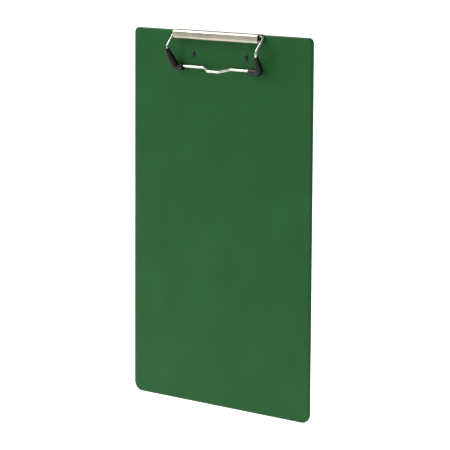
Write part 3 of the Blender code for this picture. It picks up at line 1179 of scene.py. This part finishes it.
@dataclass
class Rivets:
    """Two tubular rivets: a lacquered head on the writing face and a rolled tail on the rear leg."""

    palette: Palette
    board: Board
    shank: ClassVar[float] = 1.3 * MM
    head_radius: float = 2.6 * MM
    head_height: float = 1.15 * MM
    tail_radius: float = 2.3 * MM
    tail_height: float = 0.65 * MM
    bore: float = 0.6 * MM

    def head_profile(self) -> np.ndarray:
        """A low dome: r and y of an ellipse's quarter raised to a squarer curve, over a small rim."""
        angle = np.linspace(0, math.pi / 2, 18)
        under = self.board.front + self.board.dimple * 0.8
        radius = self.head_radius * np.sin(angle) ** 0.9
        height = self.head_height * 0.85 * np.cos(angle) ** 0.8 + self.head_height * 0.15
        dome = np.stack([radius, under - height], -1)
        dish = 0.10 * MM * np.exp(-((radius / (0.9 * MM)) ** 2))
        dome[:, 1] += dish
        skirt = [(self.head_radius, under - 0.04 * MM), (self.head_radius - 0.05 * MM, under), (0, under)]
        return np.concatenate([dome, np.array(skirt)])

    def tail_profile(self) -> np.ndarray:
        """The shank from under the head to a rolled ring round the hollow end of the tube."""
        start = self.board.front + self.board.dimple * 0.8 + 0.02 * MM
        seat = -0.05 * MM
        middle = (self.tail_radius + self.bore) / 2
        reach = (self.tail_radius - self.bore) / 2
        angle = np.linspace(0, math.pi, 17)
        roll = np.stack([middle + reach * np.cos(angle), seat + self.tail_height * np.sin(angle)], -1)
        tube = np.array([(0, start), (self.shank, start), (self.shank, seat)])
        hollow = np.array([(self.bore, seat - 1.2 * MM), (0, seat - 1.2 * MM)])
        return np.concatenate([tube, roll, hollow])

    def build(self) -> None:
        """Make both rivets, a head and a tail each."""
        for side, place in zip(Side, self.board.rivet_places):
            which = side.name.lower()
            head = turned(f"rivet_head_{which}", self.head_profile(), place, self.palette.lacquer)
            settle(head, Body.BOARD, Slot.LACQUER, f"rivet_{which}")
            tail = turned(f"rivet_tail_{which}", self.tail_profile(), place, self.palette.nickel)
            settle(tail, Body.BOARD, Slot.NICKEL, f"rivet_{which}")


@dataclass(frozen=True)
class CapFit:
    """Where on its corner a cap sits: drop of its top end, and length on the bar."""

    top_drop: float
    bar_length: float


CAP_FITS = {
    Side.LEFT: CapFit(top_drop=16.6 * MM, bar_length=10.0 * MM),
    Side.RIGHT: CapFit(top_drop=19.0 * MM, bar_length=12.7 * MM),
}


Crossing = tuple[tuple[float, float, float], ...]


@dataclass
class Bail:
    """Bent spring wire with soft caps on its corners, and the held ends that cross inside the channel."""

    palette: Palette
    board: Board
    wire: float = 1.15 * MM
    pivot_length: float = 6.5 * MM
    shoulder_radius: float = 1.6 * MM
    knee_depth: float = 2.8 * MM
    knee_drop: float = 4.3 * MM
    knee_radius: float = 2.5 * MM
    apex_spacing: float = 110.2 * MM
    apex_depth: float = 12.0 * MM
    apex_drop: float = 16.0 * MM
    apex_radius: float = 6.5 * MM
    bar_spacing: float = 104.4 * MM
    bar_depth: float = 2.6 * MM
    bar_drop: float = 32.4 * MM
    corner_radius: float = 3.6 * MM
    kink_base: float = 32.9 * MM
    kink_flat: float = 13 * MM
    kink_depth: float = 8.2 * MM
    kink_drop: float = 35.0 * MM
    kink_radius: float = 2.6 * MM
    tip_reach: float = 1.3 * MM
    tip_depth: float = 4.2 * MM
    tip_drop: float = 5.45 * MM
    # Where each held end passes the other: distance from the clip's middle, depth and drop
    low_crossing: Crossing = ((0, 1.6 * MM, 3.4 * MM), (12 * MM, 1.8 * MM, 4.1 * MM))
    high_crossing: Crossing = ((12 * MM, 3.9 * MM, 2.1 * MM), (0, 4.3 * MM, 3.4 * MM))
    crossing_radius: float = 60 * MM
    cap_taper: float = 9 * MM
    cap_top_radius: float = 1.95 * MM
    cap_corner_radius: float = 3.3 * MM
    cap_bar_radius: float = 2.9 * MM
    cap_sag: float = 0.8 * MM
    cap_bore: float = 1.25 * MM
    cap_edge: float = 0.35 * MM
    seam_height: float = 0.09 * MM
    seam_width: float = 0.22 * MM

    def __post_init__(self) -> None:
        """Read the pivot, the channel's length and the legs' spacing from the model."""
        self.pivot = Vector(frame["record"]["behaviour"]["joints"][0]["pos_m"])
        low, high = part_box("wire_bail")
        self.leg_spacing = high.x - low.x - 2 * self.wire
        low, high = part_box("hinge_channel")
        self.channel_length = high.x - low.x
        self.top = self.board.half_height

    def place(self, x: float, depth: float, drop: float) -> np.ndarray:
        """A point by its distance from the clip's middle, out of the face and down from the top."""
        return np.array([self.pivot.x + x, self.board.front - depth, self.top - drop])

    def half_route(self) -> tuple[np.ndarray, list[float]]:
        """Corners and bend radii of the bail's left half, from its pivot to the middle of the kink."""
        depth, drop = self.board.front - self.pivot.y, self.top - self.pivot.z
        corners = [
            self.place(-self.channel_length / 2 + self.pivot_length, depth, drop),
            self.place(-self.leg_spacing / 2, depth, drop),
            self.place(-self.leg_spacing / 2, self.knee_depth, self.knee_drop),
            self.place(-self.apex_spacing / 2, self.apex_depth, self.apex_drop),
            self.place(-self.bar_spacing / 2, self.bar_depth, self.bar_drop),
            self.place(-self.kink_base / 2, self.bar_depth, self.bar_drop),
            self.place(-self.kink_flat / 2, self.kink_depth, self.kink_drop),
        ]
        radii = [
            self.shoulder_radius,
            self.knee_radius,
            self.apex_radius,
            self.corner_radius,
            self.kink_radius,
            self.kink_radius,
        ]
        return np.array(corners), radii

    def mirrored(self, points: np.ndarray) -> np.ndarray:
        """The same points on the other side of the clip's middle, in the opposite order."""
        return (points * np.array([-1, 1, 1]) + np.array([2 * self.pivot.x, 0, 0]))[::-1]

    def build(self) -> None:
        """Make the bail, its held ends and its caps."""
        corners, radii = self.half_route()
        route = rounded_route(
            np.concatenate([corners, self.mirrored(corners)]), radii + radii[::-1], math.radians(5), 2 * MM
        )
        obj = wire_along("bail_wire", route, self.wire, self.palette.wire)
        settle(obj, Body.BAIL, Slot.WIRE, "wire_bail")
        self.held_end(Side.LEFT, self.low_crossing)
        self.held_end(Side.RIGHT, self.high_crossing)
        for side in Side:
            self.cap(side)

    def held_end(self, side: Side, crossing: Crossing) -> None:
        """Make the wire from one pivot through the channel to its tip at the far end.

        Args:
            side: the pivot it starts from.
            crossing: distance from the middle, depth and drop where it passes the other wire.
        """
        depth, drop = self.board.front - self.pivot.y, self.top - self.pivot.z
        start = side.value * (self.channel_length / 2 - self.pivot_length - GAP)
        tip = -side.value * (self.channel_length / 2 + self.tip_reach)
        corners = [
            self.place(start, depth, drop),
            *(self.place(*spot) for spot in crossing),
            self.place(tip, self.tip_depth, self.tip_drop),
        ]
        route = rounded_route(np.array(corners), [self.crossing_radius] * 2, math.radians(1), 2 * MM)
        which = side.name.lower()
        obj = wire_along(f"held_wire_{which}", route, self.wire, self.palette.wire, 24)
        settle(obj, Body.BOARD, Slot.WIRE, f"held_end_from_{which}")

    def cap_route(self, fit: CapFit) -> np.ndarray:
        """The stretch of the left half that a cap covers, from its top end to its end on the bar.

        Args:
            fit: where on its corner the cap sits.

        Returns:
            The wire's points there, one a row.
        """
        corners, radii = self.half_route()
        route = rounded_route(corners, radii[:5], math.radians(4), 0.5 * MM)
        apex = int(np.argmin(route[:, 1]))
        end = corners[4, 0] + fit.bar_length
        rest = route[apex:]
        return rest[(rest[:, 2] < self.top - fit.top_drop) & (rest[:, 0] < end)]

    def cap(self, side: Side) -> None:
        """Make a cap as a closed sleeve.

        Point (i, j) is path(s(i)) + r(i, j) (cos t(j) across + sin t(j) up). The list of (s, r) pairs runs
        along the outside, round the end's rim, back through the bore and round the other rim. r carries
        a fine seam at two opposite angles, the outside hangs a little below the wire, and the side
        towards the board is flattened.

        Args:
            side: the corner it sits on.
        """
        fit = CAP_FITS[side]
        path = self.cap_route(fit)
        total = lengths(path)[-1]
        edge = self.cap_edge
        along = np.arange(edge, total - edge, 0.3 * MM)
        quarter = np.linspace(0, math.pi / 2, 6)
        rise = np.clip(along / self.cap_taper, 0, 1)
        swell = self.cap_top_radius + (self.cap_corner_radius - self.cap_top_radius) * rise
        fall = np.clip((along - (total - fit.bar_length)) / (4 * MM), 0, 1)
        fall = fall * fall * (3 - 2 * fall)
        outer = swell + (self.cap_bar_radius - self.cap_corner_radius) * fall
        top_s, top_r = edge * (1 - np.sin(quarter)), outer[0] - edge * (1 - np.cos(quarter))
        bar_s, bar_r = total - edge * (1 - np.sin(quarter)), outer[-1] - edge * (1 - np.cos(quarter))
        bore = np.linspace(total, 0, 60)
        s = np.concatenate([top_s[::-1], along[1:-1], bar_s, bore])
        r = np.concatenate([top_r[::-1], outer[1:-1], bar_r, np.full(len(bore), self.cap_bore)])
        is_outer = np.concatenate([np.ones(len(s) - len(bore)), np.zeros(len(bore))])
        if side is Side.RIGHT:
            path = self.mirrored(path)
            s = total - s
        across, up = frames(path)
        middle, across, up = (
            np.stack([np.interp(s, lengths(path), each[:, k]) for k in range(3)], -1)
            for each in (path, across, up)
        )
        sides = 96
        turn = np.arange(sides) * 2 * math.pi / sides
        off_seam = np.abs(np.sin(turn)) * self.cap_corner_radius
        seam = self.seam_height * np.exp(-((off_seam / self.seam_width) ** 2))
        reach = r[:, None] + seam[None, :] * is_outer[:, None]
        ring = np.cos(turn)[None, :, None] * across[:, None] + np.sin(turn)[None, :, None] * up[:, None]
        below_top = (self.top - fit.top_drop - middle[:, 2]) / self.cap_taper
        sag = self.cap_sag * np.clip(below_top, 0, 1) * is_outer
        middle = middle - sag[:, None] * np.array([0, 0, 1])
        points = middle[:, None] + reach[..., None] * ring
        points[..., 1] = np.minimum(points[..., 1], self.board.front - CLEARANCE)
        rows = len(s)
        i = np.arange(rows)[:, None]
        j = np.arange(sides)[None, :]
        following, beside = (i + 1) % rows, (j + 1) % sides
        quads = np.stack(
            [i * sides + j, following * sides + j, following * sides + beside, i * sides + beside], -1
        )
        which = side.name.lower()
        obj = make_mesh(
            f"corner_cap_moulding_{which}",
            points.reshape(-1, 3),
            [quads.reshape(-1, 4)],
            self.palette.caps,
            crease=60,
        )
        settle(obj, Body.BAIL, Slot.CAP, f"corner_cap_{which}")


# ---------------------------------------------------------------- studio


@dataclass
class Studio:
    """A white sweep, soft light from the upper left and a long lens from the right."""

    azimuth: float = math.radians(43.85)
    elevation: float = math.radians(7.804)
    roll: float = math.radians(0.321)
    distance: float = 2.3395
    aim_right: float = -0.00268
    aim_up: float = 0.00371
    lens: float = 207.56
    sensor: float = 36.0
    sky: float = 0.5
    horizon: float = 1.05
    # Heights, as sines of the elevation, between which the horizon's light gives way to the sky's
    horizon_top: float = 0.08
    sky_foot: float = 0.35
    floor_glow: float = 0.90
    front_room: float = 0.30
    front_room_span: tuple[float, float] = (-0.6, 0.2)
    front_glow: float = 0.68
    front_glow_span: tuple[float, float] = (-2.5, 0.0)
    near_glow: float = 1.6
    near_glow_span: tuple[float, float] = (0.3, 1.0)
    floor_reach: float = 40.0
    floor_gap: float = 0.5 * MM
    key_power: float = 66.0
    key_size: float = 1.5
    key_place: tuple[float, float, float] = (-1.6, -0.85, 1.55)
    rear_power: float = 10.0
    rear_size: float = 1.2
    rear_place: tuple[float, float, float] = (0.9, 1.6, 1.4)

    def build(self) -> None:
        """Set the camera, lights, sky and floor."""
        bpy.context.scene.view_settings.view_transform = "Standard"
        self.camera()
        self.light("key softbox", self.key_place, self.key_size, self.key_power)
        self.light("rear softbox", self.rear_place, self.rear_size, self.rear_power)
        self.world()
        self.floor()

    def camera(self) -> None:
        """A long lens, turned to the right of the board and a little above it."""
        sin_a, cos_a = math.sin(self.azimuth), math.cos(self.azimuth)
        sin_e, cos_e = math.sin(self.elevation), math.cos(self.elevation)
        back = Vector((sin_a * cos_e, -cos_a * cos_e, sin_e))
        level = Vector((cos_a, sin_a, 0))
        upright = back.cross(level)
        right = level * math.cos(self.roll) + upright * math.sin(self.roll)
        up = upright * math.cos(self.roll) - level * math.sin(self.roll)
        data = bpy.data.cameras.new("long lens")
        data.sensor_width = self.sensor
        data.lens = self.lens
        obj = bpy.data.objects.new("long lens", data)
        bpy.context.scene.collection.objects.link(obj)
        turn = Matrix((right, up, back)).transposed().to_4x4()
        turn.translation = -right * self.aim_right - up * self.aim_up + back * self.distance
        obj.matrix_world = turn
        bpy.context.scene.camera = obj

    def light(self, name: str, place: tuple[float, float, float], size: float, power: float) -> None:
        """A square softbox aimed at the clip.

        Args:
            name: its name.
            place: where it stands.
            size: length of its side.
            power: its power in watts.
        """
        data = bpy.data.lights.new(name, "AREA")
        data.size = size
        data.energy = power
        obj = bpy.data.objects.new(name, data)
        bpy.context.scene.collection.objects.link(obj)
        obj.location = place
        obj.rotation_euler = (-Vector(place)).to_track_quat("-Z", "Y").to_euler()

    def world(self) -> None:
        """Soft grey-white room light, brightest at the horizon and dimmer in front of the board."""
        world = bpy.data.worlds.new("studio room")
        bpy.context.scene.world = world
        world.use_nodes = True
        tree = world.node_tree
        direction = add(tree, "ShaderNodeTexCoord").outputs["Generated"]
        height = add(tree, "ShaderNodeSeparateXYZ", {0: direction})
        level = add(tree, "ShaderNodeMath", {0: height.outputs["Z"]}, operation="ABSOLUTE")
        strength = add(
            tree,
            "ShaderNodeMapRange",
            {
                "Value": level.outputs[0],
                "From Min": self.horizon_top,
                "From Max": self.sky_foot,
                "To Min": self.horizon,
                "To Max": self.sky,
            },
        )
        dimmed = self.from_front(tree, height.outputs["Y"], self.front_room_span, self.front_room)
        strength = add(tree, "ShaderNodeMath", {0: strength.outputs[0], 1: dimmed}, operation="MULTIPLY")
        shade = tree.nodes["Background"]
        shade.inputs["Color"].default_value = (1, 1, 1, 1)
        tree.links.new(strength.outputs[0], shade.inputs["Strength"])

    @staticmethod
    def from_front(
        tree: bpy.types.NodeTree, depth: bpy.types.NodeSocket, span: tuple[float, float], least: float
    ) -> bpy.types.NodeSocket:
        """A factor that rises smoothly from the studio's front, where -Y is, to its back.

        Args:
            tree: the tree that needs it.
            depth: the Y coordinate.
            span: Y below which the factor is least, and Y above which it is 1.
            least: its lowest value.

        Returns:
            The factor.
        """
        return add(
            tree,
            "ShaderNodeMapRange",
            {"Value": depth, "From Min": span[0], "From Max": span[1], "To Min": least, "To Max": 1.0},
            interpolation_type="SMOOTHSTEP",
        ).outputs[0]

    def floor(self) -> None:
        """A pale sweep just below the board's lower edge.

        It glows from beneath like a light table: most in a pool close round the board, evenly behind it,
        and less strongly further out in front.
        """
        made = bpy.data.materials.new("pale studio sweep")
        made.use_nodes = True
        tree = made.node_tree
        shader = tree.nodes["Principled BSDF"]
        place = add(tree, "ShaderNodeTexCoord").outputs["Object"]
        cloud = add(tree, "ShaderNodeTexNoise", {"Vector": place, "Scale": 3.0, "Detail": 2.0})
        tone = add(
            tree,
            "ShaderNodeMix",
            {MIX_FACTOR: cloud.outputs["Fac"], MIX_A: linear("#e6e6e4"), MIX_B: linear("#ebebea")},
            data_type="RGBA",
        )
        tree.links.new(tone.outputs[MIX_RESULT], shader.inputs["Base Color"])
        shader.inputs["Roughness"].default_value = 0.9
        shader.inputs["Specular IOR Level"].default_value = 0.0
        shader.inputs["Emission Color"].default_value = (1, 1, 1, 1)
        spot = add(tree, "ShaderNodeSeparateXYZ", {0: place})
        behind = self.from_front(tree, spot.outputs["Y"], self.front_glow_span, self.front_glow)
        away = add(tree, "ShaderNodeVectorMath", {0: place}, operation="LENGTH")
        # The floor glows more strongly in a pool close round the board, which lights the board from below
        round_board = add(
            tree,
            "ShaderNodeMapRange",
            {
                "Value": away.outputs["Value"],
                "From Min": self.near_glow_span[0],
                "From Max": self.near_glow_span[1],
                "To Min": self.near_glow,
                "To Max": 0.0,
            },
        )
        kept = add(tree, "ShaderNodeMath", {0: behind, 1: round_board.outputs[0]}, operation="MAXIMUM")
        glow = add(tree, "ShaderNodeMath", {0: kept.outputs[0], 1: self.floor_glow}, operation="MULTIPLY")
        tree.links.new(glow.outputs[0], shader.inputs["Emission Strength"])
        reach = np.linspace(-self.floor_reach, self.floor_reach, 9)
        x, y = np.meshgrid(reach, reach, indexing="ij")
        height = cad_box[0].z - self.floor_gap
        points = np.stack([x.ravel(), y.ravel(), np.full(x.size, height)], -1)
        mesh = bpy.data.meshes.new("pale studio sweep")
        mesh.from_pydata(points.tolist(), [], grid_quads(9, 9).tolist())
        mesh.materials.append(made)
        obj = bpy.data.objects.new("pale studio sweep", mesh)
        bpy.context.scene.collection.objects.link(obj)


def main() -> None:
    """Build the clipboard's pieces in order."""
    logging.basicConfig(level=logging.INFO, format="%(message)s")
    palette = Palette.mixed()
    board = Board(palette)
    board.build()
    HingeChannel(palette, board).build()
    Rivets(palette, board).build()
    Bail(palette, board).build()
    Studio().build()


if __name__ == "__main__":
    main()
